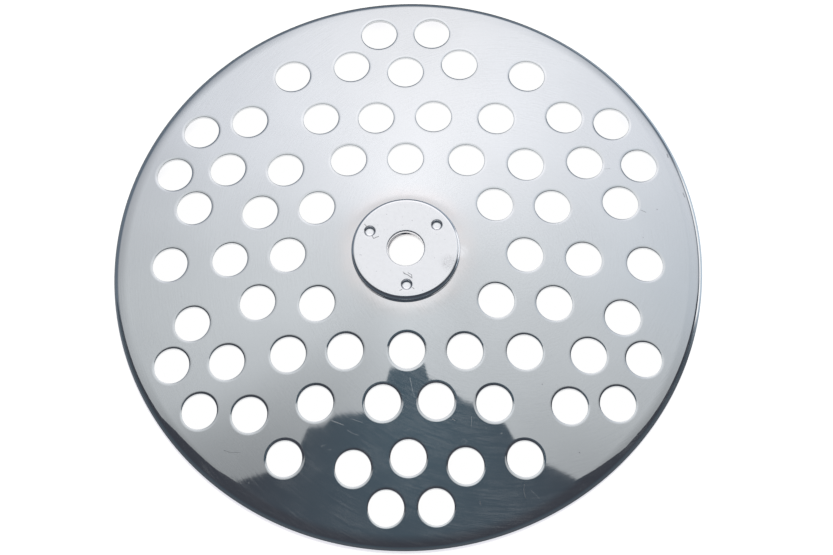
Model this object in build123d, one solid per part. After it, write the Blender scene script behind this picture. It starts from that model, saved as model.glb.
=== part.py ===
from build123d import *

import os
from math import asin, degrees, radians, sin

# Food mill sieve disc: a pressed, domed and perforated sheet with a turned-down rim,
# and a round hub washer welded on top of its flat crown.
# Millimetres. The origin is on the disc's axis, in the plane of the rim's foot. +Z points up.

# Sheet and pressed form
sheet = 1.0              # thickness of the sheet
rim_radius = 66.3        # outside of the turned-down rim
rim_bend = 1.5           # outside radius of the bend into the rim
rim_lip = 0.3            # straight foot of the rim below its bend
crown_radius = 11.0      # flat crown under the hub washer
crown_bend = 21.0        # outside radius of the bend from the crown into the dome
dome_radius = 500.0      # outside radius of the dome's section
dome_start = 9.3         # slope of the dome where it leaves the crown's bend, degrees
dome_chords = 3          # cones that the dome is made up of; its section strays 0.08 mm from its arc

# Hub washer
hub_radius = 12.2
hub_thickness = 1.5
hub_roll_width = 0.5     # broken upper outer edge of the washer, inwards
hub_roll_drop = 0.4      # and downwards
bore_radius = 4.05       # bore for the mill's shaft, through the washer and the sheet
bore_break = 0.3         # broken upper edge of the bore

# Weld dimples in the washer, struck by hand and so not evenly spaced
dimple_circle = 8.87     # radius of the circle that they lie near
dimple_mouth = 1.25
dimple_floor = 0.8
dimple_depth = 0.7
dimple_places = (        # angle in degrees, and how far outside the circle the dimple was struck
    (38.6, 0.0),
    (152.2, 0.2),
    (271.3, -0.2),
)

# Sieve holes
hole_radius = 4.0
rim_to_pairs = 8.7       # rim to the centres of the outermost pairs of holes
sectors = 6              # the pattern is repeated this many times round the disc
corner_lag = -0.7        # degrees that the holes on the sector borders sit back
middle_lead = 0.4        # degrees that the holes near the middle of a sector sit forward

# Rows of one sector, from the rim inwards:
# how far in from the outermost pairs the row lies, and the angles of its holes from the border
half_sector = 180 / sectors
border = 0
pair_spread = 6.0
quarter_spread = 14.2
edge_spread = 10.5
rows = {
    "rim pair": (0.0, (half_sector - pair_spread, half_sector + pair_spread)),
    "outer corner": (4.2, (border,)),
    "outer quarter": (7.5, (half_sector - quarter_spread, half_sector + quarter_spread)),
    "outer middle": (11.0, (half_sector,)),
    "mid corner": (17.9, (border,)),
    "mid edge": (22.7, (half_sector - edge_spread, half_sector + edge_spread)),
    "inner corner": (31.0, (border,)),
    "inner middle": (34.5, (half_sector,)),
}

# Holes that were struck off their place: the row, the hole's number in it counted round
# from +X, and the error in degrees
strays = {
    ("mid edge", 1): -1.2,
    ("mid edge", 3): 0.5,
    ("mid edge", 4): 1.7,
    ("mid edge", 6): -2.6,
    ("mid edge", 8): 1.4,
    ("mid edge", 10): -1.0,
    ("outer quarter", 4): -0.7,
    ("outer quarter", 5): -0.9,
    ("outer quarter", 7): 1.0,
    ("outer quarter", 9): 0.5,
    ("outer quarter", 11): -0.5,
    ("rim pair", 6): -0.6,
    ("rim pair", 8): 0.9,
}

# Section of the pressed sheet, with the crown's top face at height zero
bend_out = crown_radius + crown_bend * sin(radians(dome_start))
dome_centre_x = bend_out - dome_radius * sin(radians(dome_start))
dome_end = degrees(asin((rim_radius - rim_bend - dome_centre_x) / (dome_radius - rim_bend)))


def section_line(depth):
    """Edges of the section from the bore to the foot of the rim, depth below the top face."""
    crown = Line((bore_radius, -depth), (crown_radius, -depth))
    bend = JernArc(crown @ 1, (1, 0), crown_bend - depth, -dome_start)
    arc = JernArc(bend @ 1, bend % 1, dome_radius - depth, dome_start - dome_end)
    marks = [arc @ (mark / dome_chords) for mark in range(dome_chords + 1)]
    dome = [Line(start, end) for start, end in zip(marks, marks[1:])]
    turn = JernArc(arc @ 1, arc % 1, rim_bend - depth, dome_end - 90)
    foot = Line(turn @ 1, turn @ 1 - Vector(0, rim_lip))
    return [crown, bend, *dome, turn, foot]


top_line = section_line(0)
under_line = section_line(sheet)
crown_height = -(top_line[-1] @ 1).Y
dome_inner = (top_line[1] @ 1).X
dome_outer = (top_line[-2] @ 0).X


def pressed_sheet():
    """The sheet turned about the disc's axis, before it is perforated."""
    mouth = Line(under_line[0] @ 0, top_line[0] @ 0)
    foot = Line(top_line[-1] @ 1, under_line[-1] @ 1)
    face = make_face(Wire([*top_line, *under_line, mouth, foot]).edges())
    return Pos(0, 0, crown_height) * revolve(Plane.XZ * face, Axis.Z)


def hole_places():
    """Where each sieve hole is struck, as long as it lies whole on the dome."""
    places = []
    for row, (step_in, angles) in rows.items():
        radius = rim_radius - rim_to_pairs - step_in
        if radius - hole_radius < dome_inner or radius + hole_radius > dome_outer:
            continue
        drift = corner_lag if border in angles else middle_lead
        for number in range(sectors * len(angles)):
            sector, hole = divmod(number, len(angles))
            angle = sector * 2 * half_sector + angles[hole] + drift + strays.get((row, number), 0)
            places.append(Rot(0, 0, angle) * Pos(radius, 0, crown_height / 2))
    return places


def sieve_plate():
    """The sheet with its holes struck straight down, along the stroke of the press."""
    punch = Cylinder(hole_radius, 2 * crown_height)
    return pressed_sheet() - [place * punch for place in hole_places()]


def hub_washer():
    """The washer on the crown, turned from its section, with the three weld dimples."""
    section = Polyline(
        (bore_radius, 0),
        (hub_radius, 0),
        (hub_radius, hub_thickness - hub_roll_drop),
        (hub_radius - hub_roll_width, hub_thickness),
        (bore_radius + bore_break, hub_thickness),
        (bore_radius, hub_thickness - bore_break),
        close=True,
    )
    blank = revolve(Plane.XZ * make_face(section), Axis.Z)
    dimple = Cone(dimple_floor, dimple_mouth, dimple_depth)
    for angle, outside in dimple_places:
        seat = Pos(dimple_circle + outside, 0, hub_thickness - dimple_depth / 2)
        blank -= Rot(0, 0, angle) * seat * dimple
    return Pos(0, 0, crown_height) * blank


parts = {
    "sieve_plate": sieve_plate(),
    "hub_washer": hub_washer(),
}

os.makedirs("parts", exist_ok=True)
for name, shape in parts.items():
    export_step(shape, f"parts/{name}.step")
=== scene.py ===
"""Dresses a food mill sieve disc: the perforated domed sheet, its hub washer and a studio."""

import itertools
import math

import bmesh
import bpy
from mathutils import Matrix, Vector
from mathutils.geometry import delaunay_2d_cdt


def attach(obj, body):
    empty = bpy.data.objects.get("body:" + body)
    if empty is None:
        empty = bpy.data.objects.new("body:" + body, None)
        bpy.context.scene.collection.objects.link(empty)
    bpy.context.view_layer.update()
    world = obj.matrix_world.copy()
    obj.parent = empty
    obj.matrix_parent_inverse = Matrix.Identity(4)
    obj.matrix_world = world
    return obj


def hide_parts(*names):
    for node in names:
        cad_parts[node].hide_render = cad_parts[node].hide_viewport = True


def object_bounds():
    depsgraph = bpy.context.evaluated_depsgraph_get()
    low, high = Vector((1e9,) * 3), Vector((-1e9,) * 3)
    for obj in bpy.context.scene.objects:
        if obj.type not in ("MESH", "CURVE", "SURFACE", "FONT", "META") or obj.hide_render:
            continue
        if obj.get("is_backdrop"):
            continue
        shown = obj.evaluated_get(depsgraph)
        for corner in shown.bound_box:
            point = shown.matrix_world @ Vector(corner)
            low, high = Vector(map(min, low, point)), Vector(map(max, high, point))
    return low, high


bl_info = {
    "name": "Food mill sieve disc",
    "version": (1, 0, 0),
    "blender": (4, 5, 0),
    "location": "View3D > Sidebar > Sieve Disc",
    "description": "Makes a perforated, domed sieve disc with its hub washer, and a studio for it",
    "category": "Object",
}

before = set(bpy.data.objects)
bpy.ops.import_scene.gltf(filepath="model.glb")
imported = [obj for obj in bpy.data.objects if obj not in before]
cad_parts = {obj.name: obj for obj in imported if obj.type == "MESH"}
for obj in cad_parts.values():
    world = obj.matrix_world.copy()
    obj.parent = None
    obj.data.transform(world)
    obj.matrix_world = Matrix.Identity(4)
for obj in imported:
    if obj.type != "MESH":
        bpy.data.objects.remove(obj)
CAD_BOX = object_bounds()
MM = 0.001
AXIS = Vector((0.0, 0.0))  # the disc's, in the plan

# The rows of holes in one sector of the disc: how far in from the outermost pairs each row lies,
# in millimetres, and the angles of its holes from the sector's border, in degrees.
SECTORS = 6
HALF_SECTOR = 180 / SECTORS
ROWS = {
    "rim pair": (0.0, (HALF_SECTOR - 6.0, HALF_SECTOR + 6.0)),
    "outer corner": (4.2, (0,)),
    "outer quarter": (7.5, (HALF_SECTOR - 14.2, HALF_SECTOR + 14.2)),
    "outer middle": (11.0, (HALF_SECTOR,)),
    "mid corner": (17.9, (0,)),
    "mid edge": (22.7, (HALF_SECTOR - 10.5, HALF_SECTOR + 10.5)),
    "inner corner": (31.0, (0,)),
    "inner middle": (34.5, (HALF_SECTOR,)),
}

# Holes that were struck off their place: row, number in the row, error in degrees.
STRAYS = {
    ("mid edge", 1): -1.2,
    ("mid edge", 3): 0.5,
    ("mid edge", 4): 1.7,
    ("mid edge", 6): -2.6,
    ("mid edge", 8): 1.4,
    ("mid edge", 10): -1.0,
    ("outer quarter", 4): -0.7,
    ("outer quarter", 5): -0.9,
    ("outer quarter", 7): 1.0,
    ("outer quarter", 9): 0.5,
    ("outer quarter", 11): -0.5,
    ("rim pair", 6): -0.6,
    ("rim pair", 8): 0.9,
}

# Weld dimples, struck by hand: angle in degrees, and how far outside their circle in millimetres.
DIMPLES = ((38.6, 0.0), (152.2, 0.2), (271.3, -0.2))

# The front edge of the bright card, as the dome mirrors it: how far to the side and how far ahead
# of straight up, for each unit of height.
CARD_EDGE = (
    (-1.2, 0.36),
    (-0.99, 0.18),
    (-0.86, 0.06),
    (-0.79, 0.005),
    (-0.65, -0.005),
    (-0.55, -0.04),
    (-0.48, -0.08),
    (-0.43, -0.07),
    (-0.342, -0.078),
    (-0.285, -0.075),
    (-0.273, -0.04),
    (-0.236, -0.048),
    (-0.218, -0.041),
    (-0.191, -0.045),
    (-0.152, -0.053),
    (-0.1, -0.05),
    (-0.088, -0.013),
    (0.033, -0.007),
    (0.037, -0.024),
    (0.107, -0.028),
    (0.116, -0.034),
    (0.146, -0.032),
    (0.205, -0.038),
    (0.217, -0.058),
    (0.24, -0.072),
    (0.31, -0.078),
    (0.395, -0.1),
    (0.575, -0.112),
    (0.62, -0.07),
    (0.705, -0.04),
    (0.76, 0.01),
    (0.86, 0.13),
    (1.2, 0.45),
)

# Where the card glows more or less than its even fall-off: middle and reach in the same measure,
# and the gain.
GLOW_PATCHES = (
    ((0.0, 0.16), (0.22, 0.24), 0.2),
    ((-0.08, 0.6), (0.5, 0.2), -0.13),
    ((0.0, 0.92), (0.45, 0.32), 0.08),
    ((-0.42, -0.12), (0.5, 0.26), -0.42),
    ((0.4, -0.12), (0.35, 0.22), -0.24),
    ((-0.55, 0.25), (0.4, 0.25), 0.08),
    ((-0.95, 0.8), (0.4, 0.6), -0.25),
)

# Fine scratches that catch the light on the sheet: width, then the points that each runs through.
# These and the marks below are in millimetres in the plan.
SHEET_SCRATCHES = (
    (0.16, (0.8, -29.2), (1.4, -32.3), (1.9, -33.6)),
    (0.2, (-16.7, -38.1), (-14.0, -39.2)),
    (0.1, (-12.3, -37.9), (-9.8, -38.8)),
    (0.12, (-13.2, -40.3), (-11.9, -41.2), (-10.6, -41.5)),
    (0.12, (-19.0, -43.7), (-18.0, -43.3)),
    (0.14, (-17.5, -44.5), (-16.8, -44.5)),
    (0.12, (-4.1, -40.2), (-3.3, -40.8)),
    (0.12, (-0.1, -40.8), (0.7, -40.4)),
    (0.12, (12.0, -43.2), (12.6, -42.6), (13.3, -43.0), (12.8, -43.7)),
    (0.14, (5.1, -46.7), (5.8, -46.4), (6.6, -46.4)),
    (0.3, (-0.8, -36.2), (-0.8, -36.25)),
    (0.34, (20.9, -41.2), (21.0, -41.2)),
    (0.09, (14.4, -37.5), (14.3, -39.7)),
    (0.12, (10.6, -49.0), (11.5, -49.5)),
    (0.14, (27.3, -53.4), (29.3, -55.3)),
    (0.12, (24.0, -54.8), (24.2, -54.9)),
    (0.16, (16.5, -57.5), (17.3, -58.4), (17.8, -58.0)),
    (0.14, (14.0, -62.0), (14.3, -62.4)),
    (0.17, (-13.7, -59.1), (-13.6, -60.4), (-12.7, -61.1), (-11.2, -60.8)),
    (0.12, (-13.8, -58.5), (-13.1, -57.9)),
    (0.16, (-1.2, -60.9), (-0.9, -61.2)),
    (0.09, (-4.3, -62.3), (-3.0, -63.6), (-1.7, -64.7)),
    (0.2, (-6.6, -65.6), (-6.5, -65.9)),
    (0.1, (-19.5, -56.6), (-18.7, -57.2)),
    (0.1, (-19.1, -56.2), (-18.2, -56.8)),
    (0.1, (-17.5, -56.4), (-17.3, -57.1)),
    (0.1, (-24.1, -57.5), (-23.8, -58.1)),
    (0.14, (-39.2, -49.0), (-37.7, -50.2)),
    (0.12, (-38.3, -49.1), (-36.9, -50.9)),
    (0.28, (-35.2, -50.8), (-35.1, -50.8)),
    (0.12, (-37.6, -52.2), (-35.8, -53.2)),
)

# Dark specks and hairs on the sheet.
SHEET_SPECKS = (
    (0.22, (10.1, -38.2), (10.6, -38.5)),
    (0.12, (25.9, -52.1), (25.7, -53.4), (26.1, -55.1)),
    (0.2, (16.0, -56.0), (16.2, -56.8)),
    (0.12, (-40.8, -43.3), (-39.2, -43.9), (-37.1, -44.0)),
    (0.26, (56.3, 13.1), (56.4, 13.0)),
    (0.3, (58.9, 27.4), (59.1, 26.6)),
    (0.24, (62.3, 17.8), (62.7, 16.8)),
    (0.2, (53.0, 5.9), (53.1, 5.8)),
    (0.12, (44.7, 22.3), (45.9, 22.5)),
    (0.2, (52.7, 12.6), (53.8, 12.1)),
    (0.26, (38.1, -44.8), (38.2, -44.9)),
    (0.24, (30.0, -30.0), (30.1, -30.1)),
)

# Middle of the arcs in which the sheet was brushed, and of the smudge on the washer's edge.
BRUSH_CENTRE = (21.4, 1.8)
SMUDGE = (9.6, -3.6)

# Middle of a pale patch on the sheet beside that smudge, just outside the washer's edge.
PALE_PATCH = (12.6, -0.4)

# Burrs and specks on the washer, most of them left by the welding.
WASHER_BURRS = (
    (0.24, (-7.6, 3.2), (-7.15, 2.4), (-6.6, 2.7), (-6.05, 2.9)),
    (0.2, (-9.2, 5.9), (-8.7, 5.3)),
    (0.26, (-0.4, -6.05), (0.5, -6.45), (1.3, -7.1)),
    (0.2, (0.5, -5.9), (1.3, -6.4), (1.4, -7.25)),
    (0.18, (-0.6, -5.7), (0.0, -6.2)),
    (0.2, (-1.3, -10.15), (-0.8, -9.8)),
    (0.2, (1.5, -9.45), (1.85, -9.75)),
    (0.14, (1.4, 6.6), (1.45, 6.7)),
    (0.14, (3.7, -10.2), (3.8, -10.1)),
    (0.14, (6.4, -2.4), (6.45, -2.45)),
    (0.12, (-4.4, 8.3), (-4.2, 8.2)),
)

RIM_SEGMENTS = 240
HOLE_SEGMENTS = 48
ROLL_ROWS = 6            # faces down the rolled upper edge of each hole's collar
COLLAR_ROWS = ROLL_ROWS + 7


# Sizes and colours that a user would change.


def number(name, description, default, maker=bpy.props.FloatProperty, **kind):
    """A property, by default a plain number."""
    return maker(name=name, description=description, default=default, **kind)


def length(name, description, millimetres):
    """A length in metres, with its default in millimetres."""
    kind = {"subtype": "DISTANCE", "unit": "LENGTH", "precision": 5}
    return number(name, description, millimetres * MM, min=0.0, **kind)


def angle(name, description, degrees):
    """An angle, with its default in degrees."""
    return number(name, description, math.radians(degrees), subtype="ANGLE", unit="ROTATION")


def fraction(name, description, default):
    """A number between 0 and 1."""
    return number(name, description, default, min=0.0, max=1.0)


def colour(name, description, default):
    """A linear colour."""
    maker = bpy.props.FloatVectorProperty
    return number(name, description, default, maker, size=3, min=0.0, max=1.0, subtype="COLOR")


class SievePlateSizes(bpy.types.PropertyGroup):
    """Sizes of the pressed and perforated sheet."""

    sheet: length("Sheet", "Thickness of the sheet", 1.0)
    rim_radius: length("Rim radius", "Outside of the turned-down rim", 66.3)
    rim_bend: length("Rim bend", "Outside radius of the bend into the rim", 1.5)
    rim_lip: length("Rim lip", "Straight foot below the rim's bend", 0.3)
    ease_start: length("Ease start", "Where the dome starts to turn down to the rim", 63.1)
    ease_radius: length("Ease radius", "Radius of that first gentle turn", 21.0)
    crown_radius: length("Crown radius", "Flat crown under the washer", 11.0)
    crown_bend: length("Crown bend", "Outside radius of the bend from crown to dome", 21.0)
    dome_radius: length("Dome radius", "Outside radius of the dome's section", 500.0)
    dome_start: angle("Dome start", "Slope of the dome where it leaves the crown's bend", 9.3)
    bore_radius: length("Sheet bore", "Radius of the sheet's own centre hole", 3.95)
    bore_shift: length("Sheet bore shift", "How far it sits off the washer's bore", 0.2)
    hole_radius: length("Hole radius", "Radius of a sieve hole", 4.0)
    rim_to_pairs: length("Rim to pairs", "Rim to the centres of the outermost holes", 8.7)
    edge_roll: length("Edge roll", "Width of the drawn-down edge round a hole's top", 0.8)
    edge_drop: length("Edge drop", "How far it is drawn down", 0.085)
    edge_corner: length("Edge corner", "Rounding from there into the hole's wall", 0.06)
    bore_roll: length("Sheet bore roll", "Rounding of the sheet's centre hole", 0.15)
    edge_break: length("Edge break", "Broken edge at the bottom of a hole", 0.08)
    web_pitch: length("Web pitch", "Distance between the points of the sheet's faces", 1.6)
    corner_lag: angle("Corner lag", "How far the holes on a sector's border sit back", -0.7)
    middle_lead: angle("Middle lead", "How far the holes near a sector's middle sit forward", 0.4)


class HubWasherSizes(bpy.types.PropertyGroup):
    """Sizes of the welded hub washer."""

    outer_radius: length("Washer radius", "Outside of the washer", 12.2)
    thickness: length("Washer thickness", "Height of the washer above the crown", 1.5)
    outer_roll: length("Outer roll", "Rounding of the washer's upper outer edge", 0.95)
    bore_radius: length("Bore radius", "Bore for the mill's shaft", 4.05)
    bore_roll: length("Bore roll", "Rounding of the bore's upper edge", 0.4)
    dimple_circle: length("Dimple circle", "Radius near which the weld dimples lie", 8.87)
    dimple_mouth: length("Dimple mouth", "Radius of a dimple at the top", 1.25)
    dimple_floor: length("Dimple floor", "Radius of a dimple's flat floor", 0.92)
    dimple_depth: length("Dimple depth", "Depth of a dimple", 0.6)


class FinishColours(bpy.types.PropertyGroup):
    """Colours of the metal and of the studio."""

    sheet_metal: colour("Sheet metal", "Mirror colour of the polished sheet", (0.735, 0.75, 0.77))
    washer_metal: colour("Washer metal", "Mirror colour of the satin washer", (0.935, 0.93, 0.95))
    straw: colour("Straw", "Tint that the welding's heat left on the sheet", (0.775, 0.742, 0.742))
    dirt: colour("Dirt", "Colour of specks and burrs", (0.16, 0.16, 0.17))
    sheet_roughness: fraction("Sheet roughness", "Blur of the sheet's reflections", 0.03)
    washer_roughness: fraction("Washer roughness", "Blur of the washer's reflections", 0.3)
    floor: colour("Floor", "Colour of the pale floor", (0.9, 0.9, 0.92))
    room: colour("Room", "Colour of the dark room just past the card", (0.088, 0.13, 0.161))
    room_depth: colour("Room's depth", "Colour of the room far from it", (0.056, 0.061, 0.075))
    wall: colour("Wall", "Colour of the walls low behind the disc", (0.29, 0.305, 0.325))
    low_sides: colour("Low sides", "Colour of the room low beside the disc", (0.16, 0.2, 0.25))


class SieveDiscSettings(bpy.types.PropertyGroup):
    """Everything that the operators read."""

    plate: bpy.props.PointerProperty(type=SievePlateSizes)
    washer: bpy.props.PointerProperty(type=HubWasherSizes)
    finish: bpy.props.PointerProperty(type=FinishColours)


# Section of the pressed sheet.


class PressedSection:
    """The sheet's section as arcs: its height and slope at any radius and depth."""

    def __init__(self, sizes):
        self.sheet = sizes.sheet
        self.crown_radius = sizes.crown_radius
        self.crown_bend = sizes.crown_bend
        self.dome_radius = sizes.dome_radius
        self.start = sizes.dome_start
        self.rim_radius = sizes.rim_radius
        bend_out = self.crown_radius + self.crown_bend * math.sin(self.start)
        self.dome_x = bend_out - self.dome_radius * math.sin(self.start)
        below_crown = self.crown_bend - (self.crown_bend - self.dome_radius) * math.cos(self.start)
        turn_x = self.rim_radius - sizes.rim_bend
        turn = math.asin((turn_x - self.dome_x) / (self.dome_radius - sizes.rim_bend))
        over_turn = (self.dome_radius - sizes.rim_bend) * math.cos(turn)
        self.crown_height = below_crown - over_turn + sizes.rim_lip
        self.ease_radius = sizes.ease_radius
        self.end = math.asin((sizes.ease_start - self.dome_x) / self.dome_radius)

    def dome_edge(self, depth):
        """Radius at which the dome goes over into the rim's first gentle turn."""
        return self.dome_x + (self.dome_radius - depth) * math.sin(self.end)

    def height(self, radius, depth=0.0):
        """Height of the sheet at a radius, depth below its top face."""
        bend = self.crown_bend - depth
        dome = self.dome_radius - depth
        along = min(max(radius - self.crown_radius, 0.0), bend * math.sin(self.start))
        out = max(radius - self.dome_x, dome * math.sin(self.start))
        fall = math.sqrt(dome * dome - out * out) - dome * math.cos(self.start)
        return self.crown_height - self.crown_bend + math.sqrt(bend * bend - along * along) + fall

    def slope(self, radius, depth=0.0):
        """Slope of the sheet at a radius, in radians below level."""
        bend = self.crown_bend - depth
        if radius <= self.crown_radius:
            return 0.0
        if radius < self.crown_radius + bend * math.sin(self.start):
            return math.asin((radius - self.crown_radius) / bend)
        return math.asin((radius - self.dome_x) / (self.dome_radius - depth))

    def rim_points(self):
        """The rim's section from the dome's top face, round the foot, to its underside."""
        ease, steep = self.ease_radius, math.radians(21.0)
        middle = Vector((self.dome_edge(0.0), self.height(self.dome_edge(0.0))))
        middle -= ease * Vector((math.sin(self.end), math.cos(self.end)))
        outer = []
        for step in range(9):
            angle = self.end + (steep - self.end) * step / 8
            outer.append(middle + ease * Vector((math.sin(angle), math.cos(angle))))
        lip = 0.25 * MM
        first, last = outer[-1], Vector((self.rim_radius, lip))
        pull = first + 0.55 * MM * Vector((math.cos(steep), -math.sin(steep)))
        push = last + Vector((0.0, 0.8 * MM))
        for step in range(1, 17):
            share = step / 16
            rest = 1 - share
            near_end = rest**3 * first + 3 * rest**2 * share * pull
            outer.append(near_end + 3 * rest * share**2 * push + share**3 * last)
        inner = []
        for before, spot, after in zip(outer, outer[1:], outer[2:]):
            along = (after - before).normalized()
            inner.append(spot + self.sheet * Vector((along.y, -along.x)))
        under = self.dome_edge(self.sheet)
        inner = [Vector((under, self.height(under, self.sheet)))] + inner
        foot_in = self.rim_radius - self.sheet
        inner = [spot for spot in inner if spot.y > 2 * lip and spot.x < foot_in - 0.02 * MM]
        soft = 0.12 * MM
        foot = [
            (self.rim_radius, soft),
            (self.rim_radius - 0.3 * soft, 0.3 * soft),
            (self.rim_radius - soft, 0.0),
            (foot_in + soft, 0.0),
            (foot_in + 0.3 * soft, 0.3 * soft),
            (foot_in, soft),
        ]
        return [*outer, *foot, *reversed(inner)]


def around(radius, turn):
    """The point of the plan at a radius from the axis and a turn from +X."""
    return Vector((radius * math.cos(turn), radius * math.sin(turn)))


def hole_centres(sizes):
    """Plan of the sieve holes, as points round the disc's axis."""
    centres = []
    for row, (step_in, angles) in ROWS.items():
        radius = sizes.rim_radius - sizes.rim_to_pairs - step_in * MM
        drift = sizes.corner_lag if 0 in angles else sizes.middle_lead
        for count in range(SECTORS * len(angles)):
            sector, hole = divmod(count, len(angles))
            off = STRAYS.get((row, count), 0)
            angle = math.radians(sector * 2 * HALF_SECTOR + angles[hole] + off) + drift
            centres.append(around(radius, angle))
    return centres


def ring(centre, radius, count):
    """Points round a circle in the plan."""
    return [centre + around(radius, 2 * math.pi * step / count) for step in range(count)]


def flat_web(mesh, outline, cutouts, pitch, height, upward=True):
    """Triangles between an outer circle and round cutouts, with points spread evenly."""
    points, edges = [], []
    for centre, radius, count in [outline, *cutouts]:
        first = len(points)
        points += ring(centre, radius, count)
        edges += [(first + step, first + (step + 1) % count) for step in range(count)]
    reach = outline[1]
    row_gap = pitch * math.sqrt(3) / 2
    for row in range(-int(reach / row_gap) - 1, int(reach / row_gap) + 2):
        shift = 0.5 * pitch * (row % 2)
        for column in range(-int(reach / pitch) - 1, int(reach / pitch) + 2):
            spot = Vector((column * pitch + shift, row * row_gap))
            if spot.length > reach - 0.6 * pitch:
                continue
            if all((spot - hole[0]).length > hole[1] + 0.5 * pitch for hole in cutouts):
                points.append(spot)
    spots, _, faces, *_ = delaunay_2d_cdt(points, edges, [], 0, 1e-9, False)
    corners = [mesh.verts.new((*spot, height)) for spot in spots]
    inner = [(centre, radius * math.cos(math.pi / count)) for centre, radius, count in cutouts]
    for face in faces:
        middle = sum((spots[corner] for corner in face), AXIS) / len(face)
        if middle.length > reach:
            continue
        if all((middle - centre).length > radius for centre, radius in inner):
            mesh.faces.new([corners[corner] for corner in (face if upward else reversed(face))])


def clear_mesh(name):
    """An empty mesh object at the origin, in the scene."""
    thing = bpy.data.objects.new(name, bpy.data.meshes.new(name))
    bpy.context.scene.collection.objects.link(thing)
    return thing


def lathe(mesh, section, segments, centre=AXIS):
    """Turns a section, given from the inside top outwards, into rings of faces."""
    loops = []
    for radius, height in section:
        circle = ring(centre, radius, segments)
        loops.append([mesh.verts.new((*spot, height)) for spot in circle])
    for upper, lower in zip(loops, loops[1:]):
        for step in range(segments):
            after = (step + 1) % segments
            mesh.faces.new((upper[step], lower[step], lower[after], upper[after]))
    return loops


def quarter_round(start, roll, top, steps):
    """A rolled edge down from a flat top, outwards or, with a negative roll, inwards."""
    line = []
    for step in range(steps + 1):
        turn = math.pi / 2 * step / steps
        line.append((start + roll * math.sin(turn), top - abs(roll) * (1 - math.cos(turn))))
    return line


# Node maths.


def joined_by(kind):
    """A method that joins a term and another value in one node."""
    return lambda term, other: term.maths(kind, other)


class Term:
    """A value in a node tree that is written in plain sums and products."""

    def __init__(self, tree, socket):
        self.tree = tree
        self.socket = socket

    def maths(self, kind, *others, clamp=False):
        node = self.tree.nodes.new("ShaderNodeMath")
        node.operation = kind
        node.use_clamp = clamp
        for slot, value in zip(node.inputs, (self, *others)):
            plug(self.tree, value, slot)
        return Term(self.tree, node.outputs[0])

    __add__ = __radd__ = joined_by("ADD")
    __sub__ = joined_by("SUBTRACT")
    __mul__ = __rmul__ = joined_by("MULTIPLY")
    __truediv__ = joined_by("DIVIDE")
    least = joined_by("MINIMUM")
    most = joined_by("MAXIMUM")

    def __neg__(self):
        return self.maths("MULTIPLY", -1.0)

    def __rsub__(self, other):
        return -self + other

    def root(self):
        return self.maths("SQRT")

    def share(self):
        return self.maths("ADD", 0.0, clamp=True)

    def ramp(self, low, high, smooth=True):
        """0 below low, 1 above high."""
        node = self.tree.nodes.new("ShaderNodeMapRange")
        node.interpolation_type = "SMOOTHSTEP" if smooth else "LINEAR"
        plug(self.tree, self, node.inputs["Value"])
        plug(self.tree, low, node.inputs["From Min"])
        plug(self.tree, high, node.inputs["From Max"])
        return Term(self.tree, node.outputs["Result"])


def plug(tree, value, slot):
    """Links a term or a socket to a slot, or sets the slot to a plain value."""
    if isinstance(value, Term):
        tree.links.new(value.socket, slot)
    elif isinstance(value, bpy.types.NodeSocket):
        tree.links.new(value, slot)
    elif slot.type == "RGBA":
        slot.default_value = (*value, 1.0)
    else:
        slot.default_value = value


def feed(tree, node, **inputs):
    """Plugs values into a node's inputs, given by name with underscores for spaces."""
    for key, value in inputs.items():
        plug(tree, value, node.inputs[key.replace("_", " ")])
    return node


def add_node(tree, kind, settings=None, **inputs):
    """A new node with its settings and inputs."""
    node = tree.nodes.new(kind)
    for key, value in (settings or {}).items():
        setattr(node, key, value)
    return feed(tree, node, **inputs)


def split(tree, vector):
    """The three terms of a vector."""
    node = add_node(tree, "ShaderNodeSeparateXYZ", Vector=vector)
    return [Term(tree, node.outputs[axis]) for axis in "XYZ"]


def join(tree, x, y, z):
    """A vector from three terms."""
    return add_node(tree, "ShaderNodeCombineXYZ", X=x, Y=y, Z=z).outputs[0]


def vector_maths(tree, kind, first, second):
    """The outputs of a vector node on two vectors."""
    node = add_node(tree, "ShaderNodeVectorMath", {"operation": kind})
    plug(tree, first, node.inputs[0])
    plug(tree, second, node.inputs[1])
    return node.outputs


def scaled(tree, vector, scale):
    """A vector times a term."""
    node = add_node(tree, "ShaderNodeVectorMath", {"operation": "SCALE"}, Scale=scale)
    plug(tree, vector, node.inputs[0])
    return node.outputs[0]


# The sieve plate.


# The sizes that go into the nodes by their own names.
PLATE_INPUTS = (
    "Sheet",
    "Crown radius",
    "Crown bend",
    "Dome radius",
    "Dome start",
    "Hole radius",
    "Edge roll",
    "Edge drop",
    "Edge corner",
    "Edge break",
)


def named_mark(tree, name):
    """Where the blank carries a mark."""
    node = add_node(tree, "GeometryNodeInputNamedAttribute", {"data_type": "BOOLEAN"}, Name=name)
    return node.outputs["Attribute"]


def worked(tree, kind, **inputs):
    """What comes out of a new geometry node."""
    return add_node(tree, "GeometryNode" + kind, **inputs).outputs[0]


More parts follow.
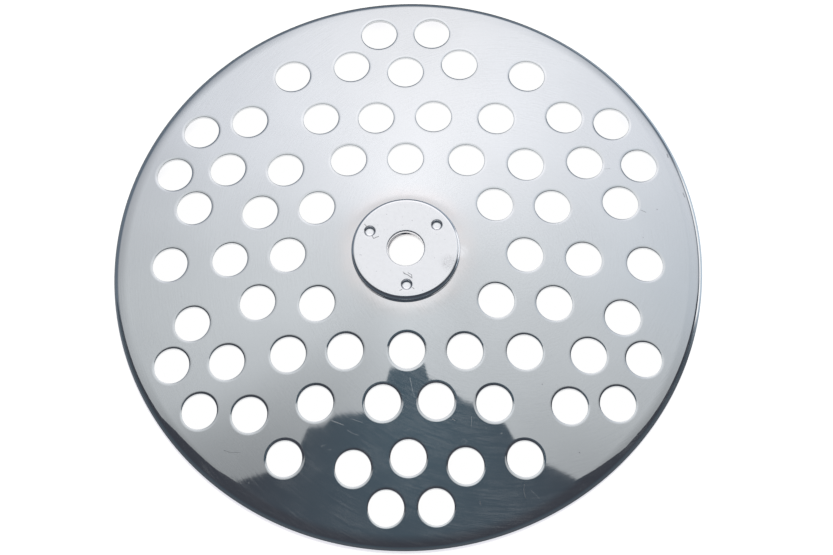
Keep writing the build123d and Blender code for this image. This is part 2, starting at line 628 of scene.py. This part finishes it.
def plate_tree(names):
    """Nodes that set a rolled collar in each hole of the flat blank, then press it into shape."""
    tree = bpy.data.node_groups.new("pressed_sieve", "GeometryNodeTree")
    face = tree.interface
    face.new_socket("Geometry", in_out="INPUT", socket_type="NodeSocketGeometry")
    for name in names:
        face.new_socket(name, in_out="INPUT", socket_type="NodeSocketFloat")
    face.new_socket("Metal", in_out="INPUT", socket_type="NodeSocketMaterial")
    face.new_socket("Geometry", in_out="OUTPUT", socket_type="NodeSocketGeometry")
    given = tree.nodes.new("NodeGroupInput")
    size = {name: Term(tree, given.outputs[name]) for name in names}

    # The blank's loose points are the holes' centres, and its faces are the webs and the rim.
    parted = add_node(
        tree,
        "GeometryNodeSeparateGeometry",
        {"domain": "POINT"},
        Geometry=given.outputs["Geometry"],
        Selection=named_mark(tree, "hole_centre"),
    )
    centres, blank = parted.outputs["Selection"], parted.outputs["Inverted"]

    # A collar: quads wrapped into rings that run from the top web down to the lower one.
    counts = {"Vertices_X": HOLE_SEGMENTS + 1, "Vertices_Y": COLLAR_ROWS}
    sheet = worked(tree, "MeshGrid", Size_X=1.0, Size_Y=1.0, **counts)
    across, up, _ = split(tree, worked(tree, "InputPosition"))
    turn = (across + 0.5) * (2 * math.pi)
    row = (0.5 - up) * (COLLAR_ROWS - 1.0)
    flat_top = (1.0 - row).share()
    rolled = ((row - 1.0) / float(ROLL_ROWS)).share()
    turned, turned_down, wall, broken, flat_low = [
        (row - float(ROLL_ROWS + step)).share() for step in range(1, 6)
    ]
    roll, drop, corner = size["Edge roll"], size["Edge drop"], size["Edge corner"]
    radius = (
        size["Hole radius"]
        + corner
        + (roll - corner) * (1.0 - rolled)
        + flat_top * (size["Patch radius"] - size["Hole radius"] - roll)
        - corner * turned * 0.7
        - corner * turned_down * 0.3
        + broken * size["Edge break"]
        + flat_low * (size["Patch radius"] - size["Hole radius"] - size["Edge break"])
    )
    depth = (
        drop * rolled * rolled * rolled
        + corner * turned * 0.4
        + corner * turned_down * 0.6
        + wall * (size["Sheet"] - size["Edge break"] - drop - corner)
        + broken * size["Edge break"]
    )
    wrapped = join(tree, radius * turn.maths("COSINE"), radius * turn.maths("SINE"), -depth)
    collar = worked(tree, "SetPosition", Geometry=sheet, Position=wrapped)
    outward = worked(tree, "FlipFaces", Mesh=collar)
    collars = worked(tree, "InstanceOnPoints", Points=centres, Instance=outward)
    loose = worked(tree, "RealizeInstances", Geometry=collars)

    # The stroke of the press: each point goes to the section's height at its radius and depth.
    sheetwork = tree.nodes.new("GeometryNodeJoinGeometry")
    tree.links.new(blank, sheetwork.inputs[0])
    tree.links.new(loose, sheetwork.inputs[0])
    x, y, z = split(tree, worked(tree, "InputPosition"))
    plan = (x * x + y * y).root()
    sine, cosine = size["Dome start"].maths("SINE"), size["Dome start"].maths("COSINE")
    bend, dome = size["Crown bend"] + z, size["Dome radius"] + z
    along = (plan - size["Crown radius"]).most(0.0).least(bend * sine)
    out = (plan - size["Dome centre X"]).most(dome * sine)
    fall = (dome * dome - out * out).root() - dome * cosine
    crown_centre = size["Crown height"] - size["Crown bend"]
    height = crown_centre + (bend * bend - along * along).root() + fall
    unshaped = add_node(tree, "FunctionNodeBooleanMath", {"operation": "NOT"})
    tree.links.new(named_mark(tree, "already_shaped"), unshaped.inputs[0])
    pressed = worked(
        tree,
        "SetPosition",
        Geometry=sheetwork.outputs[0],
        Selection=unshaped.outputs[0],
        Position=join(tree, x, y, height),
    )
    closed = worked(tree, "MergeByDistance", Geometry=pressed, Distance=0.004 * MM)
    smooth = worked(tree, "SetShadeSmooth", Geometry=closed)
    metal = worked(tree, "SetMaterial", Geometry=smooth, Material=given.outputs["Metal"])
    add_node(tree, "NodeGroupOutput", Geometry=metal)
    return tree


def plate_blank(sizes, section):
    """The blank: two flat webs with gaps for the collars, the turned rim and the holes' centres."""
    thing = clear_mesh("sieve_plate_dressed")
    mesh = bmesh.new()
    marked = mesh.verts.layers.bool.new("hole_centre")
    shaped = mesh.verts.layers.bool.new("already_shaped")
    centres = hole_centres(sizes)
    patch = patch_radius(centres)
    shift = Vector((sizes.bore_shift, 0.0))
    bore_edge = sizes.bore_radius + sizes.bore_roll
    collar_gaps = [(centre, patch, HOLE_SEGMENTS) for centre in centres]
    webs = (
        (0.0, bore_edge, sizes.web_pitch),
        (sizes.sheet, sizes.bore_radius, 1.4 * sizes.web_pitch),
    )
    for depth, bore, pitch in webs:
        outline = (AXIS, section.dome_edge(depth), RIM_SEGMENTS)
        gaps = collar_gaps + [(shift, bore, 2 * HOLE_SEGMENTS)]
        flat_web(mesh, outline, gaps, pitch, -depth, upward=depth == 0.0)

    # The bore's rolled edge and wall, in the flat.
    bore_line = quarter_round(bore_edge, -sizes.bore_roll, 0.0, ROLL_ROWS)
    bore_line.append((sizes.bore_radius, -sizes.sheet))
    lathe(mesh, bore_line[::-1], 2 * HOLE_SEGMENTS, shift)

    # The rim is already in its final shape.
    for loop in lathe(mesh, section.rim_points(), RIM_SEGMENTS):
        for corner in loop:
            corner[shaped] = True
    for centre in centres:
        mesh.verts.new((centre.x, centre.y, 0.0))[marked] = True
    mesh.to_mesh(thing.data)
    mesh.free()
    return thing, patch


def patch_radius(centres):
    """The largest collar whose flat ring stays clear of its neighbour's."""
    gaps = [(one - other).length for one, other in itertools.combinations(centres, 2)]
    return 0.49 * min(gaps)


def true_normals(mesh, section):
    """Gives the pressed faces the exact normals of their arcs, so that reflections run smoothly."""
    normals = []
    reach = section.dome_edge(0.0) + 0.001 * MM
    for corner in mesh.vertices:
        spot, normal = corner.co, corner.normal.copy()
        plan = math.hypot(spot.x, spot.y)
        for depth, side in ((0.0, 1.0), (section.sheet, -1.0)):
            pressed = section.height(min(plan, section.dome_edge(depth)), depth)
            on_face = plan <= reach and abs(spot.z - pressed) <= 0.002 * MM
            if on_face and normal.z * side >= 0.6:
                fall = section.slope(plan, depth)
                out = Vector((spot.x, spot.y, 0.0)) / plan * math.sin(fall)
                normal = (out + Vector((0.0, 0.0, math.cos(fall)))) * side
        normals.append(normal)
    mesh.normals_split_custom_set_from_vertices(normals)


class MakeSievePlate(bpy.types.Operator):
    """Makes the perforated, domed sheet with its turned-down rim"""

    bl_idname = "sieve_disc.make_plate"
    bl_label = "Make the sieve plate"

    def execute(self, context):
        settings = context.scene.sieve_disc
        sizes = settings.plate
        section = PressedSection(sizes)
        blank, patch = plate_blank(sizes, section)
        values = {
            "Crown height": section.crown_height,
            "Dome centre X": section.dome_x,
            "Patch radius": patch,
        }
        for name in PLATE_INPUTS:
            values[name] = getattr(sizes, name.lower().replace(" ", "_"))
        tree = plate_tree(list(values))
        press = blank.modifiers.new("press", "NODES")
        press.node_group = tree
        values["Metal"] = polished_sheet(settings.finish)
        for item in tree.interface.items_tree:
            if item.in_out == "INPUT" and item.name in values:
                press[item.identifier] = values[item.name]
        plate = settle(blank)
        true_normals(plate.data, section)
        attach(plate, "root")
        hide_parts("sieve_plate")
        return {"FINISHED"}


def settle(thing):
    """Turns an object's modifiers into a plain mesh."""
    view = bpy.context.evaluated_depsgraph_get()
    mesh = bpy.data.meshes.new_from_object(thing.evaluated_get(view))
    thing.modifiers.clear()
    old, thing.data = thing.data, mesh
    bpy.data.meshes.remove(old)
    if not mesh.polygons:
        raise RuntimeError(f"{thing.name} came out empty")
    return thing


# The hub washer.


class MakeHubWasher(bpy.types.Operator):
    """Makes the welded washer with its bore, rounded edges and three weld dimples"""

    bl_idname = "sieve_disc.make_washer"
    bl_label = "Make the hub washer"

    def execute(self, context):
        settings = context.scene.sieve_disc
        sizes = settings.washer
        base = PressedSection(settings.plate).crown_height
        top = base + sizes.thickness
        washer = clear_mesh("hub_washer_dressed")
        mesh = bmesh.new()
        segments = 160
        outer_flat = sizes.outer_radius - sizes.outer_roll
        bore_flat = sizes.bore_radius + sizes.bore_roll
        roll_steps = 10
        outer_line = quarter_round(outer_flat, sizes.outer_roll, top, roll_steps)
        bore_line = quarter_round(bore_flat, -sizes.bore_roll, top, roll_steps)
        seat = [(sizes.outer_radius, base), (sizes.bore_radius, base)]
        lathe(mesh, outer_line + seat + bore_line[::-1], segments)
        middles = [
            around(sizes.dimple_circle + farther * MM, math.radians(bearing))
            for bearing, farther in DIMPLES
        ]
        dimple_segments = 40
        edge = 0.12 * MM
        gaps = [(AXIS, bore_flat, segments)]
        gaps += [(middle, sizes.dimple_mouth + edge, dimple_segments) for middle in middles]
        flat_web(mesh, (AXIS, outer_flat, segments), gaps, 0.8 * MM, top)
        for middle in middles:
            cup = [
                (sizes.dimple_mouth + edge, top),
                (sizes.dimple_mouth + 0.35 * edge, top - 0.1 * edge),
                (sizes.dimple_mouth, top - 0.6 * edge),
                (sizes.dimple_floor + 0.1 * MM, top - sizes.dimple_depth + 0.1 * MM),
                (sizes.dimple_floor - 0.1 * MM, top - sizes.dimple_depth),
                (0.4 * sizes.dimple_floor, top - sizes.dimple_depth),
            ]
            loops = lathe(mesh, cup[::-1], dimple_segments, middle)
            mesh.faces.new(loops[0])
        bmesh.ops.remove_doubles(mesh, verts=mesh.verts, dist=0.002 * MM)
        for face in mesh.faces:
            face.smooth = True
        mesh.to_mesh(washer.data)
        mesh.free()
        washer.data.materials.append(satin_washer(settings.finish, outer_flat, top))
        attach(washer, "root")
        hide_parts("hub_washer")
        return {"FINISHED"}


# Finishes.


def new_material(name):
    """A material with its tree, its shader and its coordinates in millimetres."""
    material = bpy.data.materials.new(name)
    material.use_nodes = True
    tree = material.node_tree
    shader = tree.nodes["Principled BSDF"]
    where = tree.nodes.new("ShaderNodeTexCoord").outputs["Object"]
    return material, tree, shader, [axis * 1000.0 for axis in split(tree, where)]


def stroke_group():
    """Nodes for one straight stroke: 1 on its line, 0 past its width."""
    tree = bpy.data.node_groups.new("stroke", "ShaderNodeTree")
    face = tree.interface
    for name in ("Spot", "Start", "Run"):
        face.new_socket(name, in_out="INPUT", socket_type="NodeSocketVector")
    for name in ("Length squared", "Width"):
        face.new_socket(name, in_out="INPUT", socket_type="NodeSocketFloat")
    face.new_socket("Share", in_out="OUTPUT", socket_type="NodeSocketFloat")
    given = tree.nodes.new("NodeGroupInput").outputs
    away = vector_maths(tree, "SUBTRACT", given["Spot"], given["Start"])[0]
    dot = Term(tree, vector_maths(tree, "DOT_PRODUCT", away, given["Run"])["Value"])
    along = (dot / Term(tree, given["Length squared"])).share()
    near = scaled(tree, given["Run"], along)
    gap = Term(tree, vector_maths(tree, "DISTANCE", away, near)["Value"])
    wide = Term(tree, given["Width"])
    inked = gap.ramp(wide * 0.6, wide * 0.15)
    add_node(tree, "NodeGroupOutput", Share=inked)
    return tree


def strokes(tree, group, spot, table):
    """1 on any stroke of a table, for a spot in millimetres in the plan."""
    found = Term(tree, spot) * 0.0
    for wide, *points in table:
        for start, end in zip(points, points[1:]):
            run = Vector(end) - Vector(start)
            node = add_node(tree, "ShaderNodeGroup", {"node_tree": group}, Spot=spot, Width=wide)
            feed(tree, node, Start=(*start, 0.0), Run=(*run, 0.0))
            feed(tree, node, Length_squared=run.length_squared)
            found = found.most(Term(tree, node.outputs[0]))
    return found


def noise(tree, vector, scale, detail=2.0, rough=0.5):
    """Noise about 0.5."""
    node = add_node(
        tree, "ShaderNodeTexNoise", Vector=vector, Scale=scale, Detail=detail, Roughness=rough
    )
    return Term(tree, node.outputs["Fac"])


def distance(tree, spot, middle):
    """How far a spot lies from a middle in the plan."""
    return Term(tree, vector_maths(tree, "DISTANCE", spot, (*middle, 0.0))["Value"])


def dimmed(metal, share):
    """A metal's colour at a share of its brightness."""
    return tuple(share * part for part in metal)


def polished_sheet(finish):
    """Polished stainless sheet with brushing, haze, scratches and a straw tint by the hub."""
    material, tree, shader, (x, y, z) = new_material("polished_stainless_sheet")
    spot = join(tree, x, y, 0.0)
    group = stroke_group()

    # The belt ran in arcs about a point beside the hub.
    to_side, to_back = x - BRUSH_CENTRE[0], y - BRUSH_CENTRE[1]
    across = (to_side * to_side + to_back * to_back).root()
    along = to_back.maths("ARCTAN2", to_side)
    fine = noise(tree, join(tree, across * 2.6, along * 9.0, z * 0.2), 1.0, 3.0, 0.65)
    long = noise(tree, join(tree, across * 5.0, along * 3.5, 3.0), 1.0, 1.0)
    patches = noise(tree, join(tree, x, y, 7.0), 0.09, 3.0, 0.55)
    brushed = fine.ramp(0.42, 0.6) * 0.6 + long.ramp(0.46, 0.6) * 0.4
    haze = brushed * (0.2 + patches.ramp(0.38, 0.62) * 0.8)

    scratched = strokes(tree, group, spot, SHEET_SCRATCHES)
    specks = strokes(tree, group, spot, SHEET_SPECKS)

    # Heat of the welding left the sheet a little warm round the washer.
    plan = (x * x + y * y).root()
    warm = plan.ramp(17.5, 12.6) * (0.55 + noise(tree, spot, 0.35).ramp(0.3, 0.7) * 0.45)
    cloud = noise(tree, join(tree, x, y, 21.0), 0.055, 2.0)
    sheet_metal = finish.sheet_metal
    metal = mix_colours(cloud.ramp(0.35, 0.65), sheet_metal, dimmed(sheet_metal, 0.97))
    metal = mix_colours(warm * 0.9, metal, finish.straw)
    metal = mix_colours(specks * 0.5, metal, finish.dirt)
    # A pale patch on the sheet, palest at its middle just outside the washer's edge.
    pale_patch = distance(tree, spot, PALE_PATCH).ramp(2.1, 0.3) * (0.4 + fine.ramp(0.4, 0.6) * 0.6)
    metal = mix_colours(pale_patch * 0.7, metal, finish.washer_metal)
    blur = finish.sheet_roughness + scratched * 0.16 + specks * 0.3 + brushed * 0.01
    feed(tree, shader, Base_Color=metal, Metallic=1.0, Roughness=blur)

    # Haze of the finest scratches, as a thin veil over the mirror.
    veil = 0.02 + haze * 0.98
    feed(tree, shader, Coat_Weight=veil, Coat_Roughness=0.5, Coat_IOR=2.3)

    height = fine * 0.6 + long * 0.4
    ripple = add_node(tree, "ShaderNodeBump", Strength=0.04, Distance=0.02 * MM, Height=height)
    feed(tree, shader, Normal=ripple.outputs[0])
    return material


def satin_washer(finish, flat_reach, top):
    """Satin stainless washer, with burrs of the welding and a worn smudge at one side."""
    material, tree, shader, (x, y, z) = new_material("satin_stainless_washer")
    spot = join(tree, x, y, 0.0)
    solid = join(tree, x, y, z)
    burrs = strokes(tree, stroke_group(), spot, WASHER_BURRS)
    grain = noise(tree, solid, 1.1, 4.0, 0.6)
    fine = noise(tree, solid, 5.0, 2.0, 0.6)
    pits = noise(tree, solid, 2.3, 1.0).ramp(0.73, 0.79)
    smudge = distance(tree, spot, SMUDGE).ramp(2.6, 0.8) * fine.ramp(0.42, 0.6)
    mottled = grain.ramp(0.4, 0.64) * 0.5
    washer_metal = finish.washer_metal
    metal = mix_colours(mottled, washer_metal, dimmed(washer_metal, 0.955))
    metal = mix_colours(smudge * 0.32, metal, finish.dirt)
    metal = mix_colours((burrs * 0.75).most(pits * 0.3), metal, finish.dirt)
    plan = (x * x + y * y).root()
    turned_edge = plan.ramp(flat_reach * 1000, flat_reach * 1000 + 0.15)
    face = finish.washer_roughness + (fine - 0.5) * 0.12
    in_dimple = z.ramp((top - 0.2 * MM) * 1000, (top - 0.4 * MM) * 1000) * (1.0 - turned_edge)
    smoother = 1.0 - turned_edge * 0.72 - in_dimple * 0.5
    feed(tree, shader, Base_Color=metal, Metallic=1.0, Roughness=face * smoother)
    height = fine * 0.5 + grain * 0.5 - burrs * 1.5 - pits
    relief = add_node(tree, "ShaderNodeBump", Strength=0.12, Distance=0.05 * MM, Height=height)
    feed(tree, shader, Normal=relief.outputs[0])
    return material


# The studio.


# The floor as the camera sees it, glow and lamplight, and the tint of the painted shade that the
# metal mirrors.
FLOOR_GLOW = (0.79, 0.785, 0.84)
FLOOR_SHADE = (0.8, 0.8, 0.65)
FLOOR_MIRRORED_PAINTED_SHADE = (0.86, 1.0, 1.14)


def studio_floor(finish):
    """A pale floor that is white to the camera and keeps a faint shadow; mirrors see painted shade
    round the disc.
    """
    floor = clear_mesh("floor")
    half, level = 4.0, -0.02 * MM
    corners = ((-half, -half), (half, -half), (half, half), (-half, half))
    floor.data.from_pydata([(*corner, level) for corner in corners], [], [(0, 1, 2, 3)])
    material = bpy.data.materials.new("pale_floor")
    material.use_nodes = True
    tree = material.node_tree
    tree.nodes.clear()
    x, y, _ = split(tree, tree.nodes.new("ShaderNodeTexCoord").outputs["Object"])
    beyond = (x * x + y * y).root().ramp(60 * MM, 63 * MM)
    path = tree.nodes.new("ShaderNodeLightPath").outputs
    rays = ("Camera", "Glossy", "Transmission")
    seen, mirrored, refracted = [Term(tree, path[f"Is {ray} Ray"]) for ray in rays]
    matt = add_node(tree, "ShaderNodeBsdfDiffuse", Color=finish.floor)
    white = add_node(tree, "ShaderNodeEmission", Color=(1.0, 1.0, 1.0))
    faint = add_node(tree, "ShaderNodeEmission", Color=FLOOR_GLOW)
    dim = add_node(tree, "ShaderNodeBsdfDiffuse", Color=FLOOR_SHADE)
    lit = add_node(tree, "ShaderNodeAddShader")
    tree.links.new(faint.outputs[0], lit.inputs[0])
    tree.links.new(dim.outputs[0], lit.inputs[1])
    # Painted shade round the disc where the rim mirrors the floor: dark in front, lighter left, lit
    # right.
    to_left = x.ramp(0.0, -60 * MM) * y.ramp(-45 * MM, 0.0)
    to_right = x.ramp(20 * MM, 70 * MM) * y.ramp(-22 * MM, -2 * MM)
    shade = 0.12 + (to_left * 0.1).most(y.ramp(0.0, 60 * MM) * 0.03) + to_right * 0.62
    painted_floor_shade = add_node(tree, "ShaderNodeEmission", Color=FLOOR_MIRRORED_PAINTED_SHADE, Strength=shade)
    # To mirror rays the floor outside the disc shows that painted shade, not lamplight.
    open_floor = mix_shaders(mirrored, lit.outputs[0], painted_floor_shade.outputs[0])
    under = mix_shaders(beyond, white.outputs[0], open_floor)
    shown = mix_shaders(seen.most(mirrored).most(refracted), matt.outputs[0], under)
    add_node(tree, "ShaderNodeOutputMaterial", Surface=shown)
    floor.data.materials.append(material)
    floor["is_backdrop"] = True


def mix_shaders(share, first, second):
    """The first shader where share is 0, the second where it is 1."""
    node = add_node(share.tree, "ShaderNodeMixShader", Fac=share)
    share.tree.links.new(first, node.inputs[1])
    share.tree.links.new(second, node.inputs[2])
    return node.outputs[0]


def mix_colours(share, first, second):
    """The first colour where share is 0, the second where it is 1."""
    node = add_node(share.tree, "ShaderNodeMix", {"data_type": "RGBA"})
    for slot, value in ((0, share), (6, first), (7, second)):
        plug(share.tree, value, node.inputs[slot])
    return node.outputs[2]


# Brightness of the second card.
LOW_CARD = (1.25, 1.25, 1.25)


def card_front(tree, side):
    """How far ahead of straight up the card's front edge lies, along its length."""
    node = tree.nodes.new("ShaderNodeFloatCurve")
    curve = node.mapping.curves[0]
    reach = CARD_EDGE[-1][0]
    spots = [((across + reach) / (2 * reach), 0.5 + 5 * ahead) for across, ahead in CARD_EDGE]
    for spot in spots[1:-1]:
        curve.points.new(*spot)
    curve.points[0].location = spots[0]
    curve.points[-1].location = spots[-1]
    for point in curve.points:
        point.handle_type = "VECTOR"
    node.mapping.extend = "HORIZONTAL"
    node.mapping.update()
    plug(tree, (side + reach) / (2 * reach), node.inputs["Value"])
    past_end = (side.maths("ABSOLUTE") / reach).most(1.0)
    return (Term(tree, node.outputs["Value"]) - 0.5) / 5.0 * past_end


def studio_light(finish):
    """The world: a bright card overhead that ends before the camera, and a dark room past it."""
    world = bpy.data.worlds.new("studio")
    bpy.context.scene.world = world
    world.cycles_visibility.diffuse = False
    world.use_nodes = True
    tree = world.node_tree
    tree.nodes.clear()
    x, y, z = split(tree, tree.nodes.new("ShaderNodeTexCoord").outputs["Generated"])
    level = z.most(0.02)
    side, ahead = x / level, y / level

    # The card glows most behind the middle and falls off to its front and its sides.
    near_side = side.most(-0.66).least(0.66)
    near_ahead = ahead.most(-0.1).least(1.4)
    glow = (
        0.545
        + near_ahead * 0.475
        - near_ahead * near_ahead * (0.04 + near_ahead * 0.117)
        - near_side * near_side * 0.488
        + near_ahead * near_side * 0.02
    ) / 0.75
    for middle, reach, gain in GLOW_PATCHES:
        off_side, off_ahead = (side - middle[0]) / reach[0], (ahead - middle[1]) / reach[1]
        patch = (1.0 - off_side * off_side - off_ahead * off_ahead).most(0.0)
        glow = glow * (1.0 + patch * patch * gain)
    tint = near_ahead.ramp(0.0, 0.8, False) * near_side.maths("ABSOLUTE").ramp(0.7, 0.1, False)
    bluer = side.ramp(0.3, 0.7) * ahead.ramp(0.0, 0.4) * ahead.ramp(1.4, 0.8)
    pale = mix_colours(bluer, (0.965, 1.005, 1.025), (0.93, 1.0, 1.07))
    pale = mix_colours(ahead.ramp(0.3, 1.0) * 0.8, pale, (0.97, 0.995, 1.055))
    lit = scaled(tree, mix_colours(tint * 0.9, pale, (1.0, 0.995, 1.01)), glow)

    # Low behind and beside it are plain walls, and on the right a second bright card stands low.
    beside = side.ramp(-0.7, -1.6).most(side.ramp(0.8, 1.7))
    off_card = beside.most(ahead.ramp(2.4, 5.0)).most(z.ramp(0.05, 0.0))
    above = mix_colours(off_card, lit, finish.wall)
    low_sides = x.maths("ABSOLUTE").ramp(0.2, 0.55) * z.ramp(0.62, 0.38)
    low_back = y.ramp(0.5, 0.8) * z.ramp(0.44, 0.34)
    above = mix_colours(low_sides.most(low_back), above, finish.low_sides)
    bearing = y.maths("ARCTAN2", x)
    right_end = bearing.ramp(math.radians(6), math.radians(12))
    left_end = bearing.ramp(math.radians(46), math.radians(38))
    low_card = right_end * left_end * z.ramp(0.42, 0.34)
    above = mix_colours(low_card, above, LOW_CARD)

    # The room in front, past the card's edge.
    past_edge = (card_front(tree, side) - ahead).ramp(-0.002, 0.002)
    in_room = past_edge * (1.0 - low_card)
    depth = (side * side + ahead * ahead).root().ramp(0.08, 0.42, False)
    room = mix_colours(depth, finish.room, finish.room_depth)
    room = mix_colours(z.ramp(0.62, 0.3) * 0.5, room, finish.room)
    all_round = mix_colours(in_room, above, room)

    path = tree.nodes.new("ShaderNodeLightPath").outputs
    seen = Term(tree, path["Is Camera Ray"])
    plain = add_node(tree, "ShaderNodeBackground", Color=(1.0, 1.0, 1.0))
    surround = add_node(tree, "ShaderNodeBackground", Color=all_round)
    shown = mix_shaders(seen, surround.outputs[0], plain.outputs[0])
    add_node(tree, "ShaderNodeOutputWorld", Surface=shown)

    # A soft lamp behind the disc draws its faint shadow forward over the floor.
    sun = bpy.data.lights.new("back_lamp", "SUN")
    sun.energy = 1.5
    sun.angle = math.radians(16)
    lamp = bpy.data.objects.new("back_lamp", sun)
    lamp.rotation_euler = (math.radians(-38), 0.0, math.radians(-8))
    lamp.visible_glossy = False
    bpy.context.scene.collection.objects.link(lamp)


def studio_camera():
    """The camera that took the view: high in front, a little turned."""
    spot = Vector((34.628, -423.911, 1061.709)) * MM
    aim = Vector((2.198, -4.452, 8.0)) * MM
    roll = math.radians(-4.813)
    back = (spot - aim).normalized()
    level = Vector((0.0, 0.0, 1.0)).cross(back).normalized()
    above = back.cross(level)
    right = math.cos(roll) * level + math.sin(roll) * above
    up = back.cross(right)
    lens = bpy.data.cameras.new("camera")
    lens.sensor_fit = "HORIZONTAL"
    lens.sensor_width = 36.0
    lens.lens = 219.21
    lens.clip_start = 0.05
    camera = bpy.data.objects.new("camera", lens)
    turned = Matrix((right, up, back)).transposed().to_4x4()
    turned.translation = spot
    camera.matrix_world = turned
    bpy.context.scene.collection.objects.link(camera)
    bpy.context.scene.camera = camera


class MakeStudio(bpy.types.Operator):
    """Makes the floor, the light and the camera"""

    bl_idname = "sieve_disc.make_studio"
    bl_label = "Make the studio"

    def execute(self, context):
        finish = context.scene.sieve_disc.finish
        studio_camera()
        studio_floor(finish)
        studio_light(finish)
        context.scene.view_settings.view_transform = "Standard"
        return {"FINISHED"}


class SieveDiscPanel(bpy.types.Panel):
    """Lists the disc's sizes, finishes and the steps that make it"""

    bl_idname = "VIEW3D_PT_sieve_disc"
    bl_label = "Sieve Disc"
    bl_space_type = "VIEW_3D"
    bl_region_type = "UI"
    bl_category = "Sieve Disc"

    def draw(self, context):
        settings = context.scene.sieve_disc
        for group, operator in (
            (settings.plate, MakeSievePlate),
            (settings.washer, MakeHubWasher),
            (settings.finish, MakeStudio),
        ):
            box = self.layout.box()
            for name in group.__annotations__:
                box.prop(group, name)
            box.operator(operator.bl_idname)


CLASSES = (
    SievePlateSizes,
    HubWasherSizes,
    FinishColours,
    SieveDiscSettings,
    MakeSievePlate,
    MakeHubWasher,
    MakeStudio,
    SieveDiscPanel,
)


def register():
    for item in CLASSES:
        bpy.utils.register_class(item)
    bpy.types.Scene.sieve_disc = bpy.props.PointerProperty(type=SieveDiscSettings)


def unregister():
    del bpy.types.Scene.sieve_disc
    for item in reversed(CLASSES):
        bpy.utils.unregister_class(item)


def main():
    """Registers the classes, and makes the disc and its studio."""
    register()
    bpy.ops.sieve_disc.make_plate()
    bpy.ops.sieve_disc.make_washer()
    bpy.ops.sieve_disc.make_studio()
    boxes = {"cad": CAD_BOX, "visual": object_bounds()}
    for name, box in boxes.items():
        boxes[name] = [[float(value) for value in corner] for corner in box]


if __name__ == "__main__":
    main()
